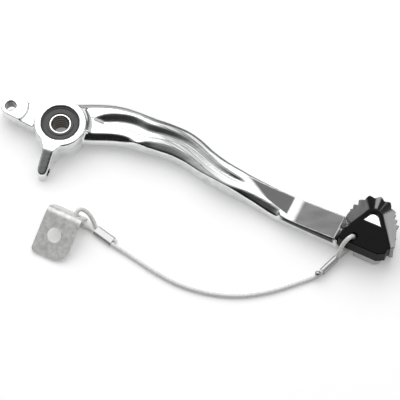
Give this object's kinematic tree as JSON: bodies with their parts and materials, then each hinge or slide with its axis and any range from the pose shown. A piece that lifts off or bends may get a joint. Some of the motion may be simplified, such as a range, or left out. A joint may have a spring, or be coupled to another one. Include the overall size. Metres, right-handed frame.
{
  "type": "rear brake pedal",
  "caption": "Forged rear brake pedal with a bushed pivot boss, push rod lug, spring ear, serrated folding-style claw tip and a wire safety tether with its frame bracket.",
  "frame": {"origin": "on the pivot axis, at the underside of the boss, which is the face towards the motorbike's frame", "axes": "+Z along the pivot axis, away from the motorbike; +X from the pivot towards the pedal's tip; +Y towards the side that the boot presses"},
  "size_m": [0.2251, 0.1212, 0.0204],
  "materials": {
    "polished_alloy": "forged and polished bright, satin on the flat bar",
    "bush_bronze": "plain sintered bronze",
    "collar_steel": "turned steel",
    "seal_rubber": "black moulded rubber",
    "black_alloy": "gloss black coating",
    "claw_steel": "dark grey coated steel",
    "fastener_steel": "zinc plated",
    "coated_cable": "stranded wire in a clear coating",
    "ferrule_metal": "crimped bright metal",
    "bracket_steel": "satin stainless sheet"
  },
  "bodies": {
    "pedal": {"pedal_arm": "polished_alloy", "outer_bush": "bush_bronze", "inner_bush": "bush_bronze", "outer_seal": "seal_rubber", "inner_seal": "seal_rubber", "tip_block": "black_alloy", "tip_claw": "claw_steel", "tip_screws": "fastener_steel", "claw_rivets": "fastener_steel", "tether_cable": "coated_cable", "pedal_eye": "coated_cable", "pedal_ferrule": "ferrule_metal", "dead_end_bead": "ferrule_metal", "bracket_eye": "coated_cable", "bracket_ferrule": "ferrule_metal", "frame_bracket": "bracket_steel"},
    "collar": {"pivot_collar": "collar_steel"}
  },
  "joints": [
    {"name": "collar_turn", "type": "hinge", "parent": "pedal", "child": "collar", "pos_m": [0, 0, 0], "axis": [0, 0, 1], "continuous": true}
  ]
}
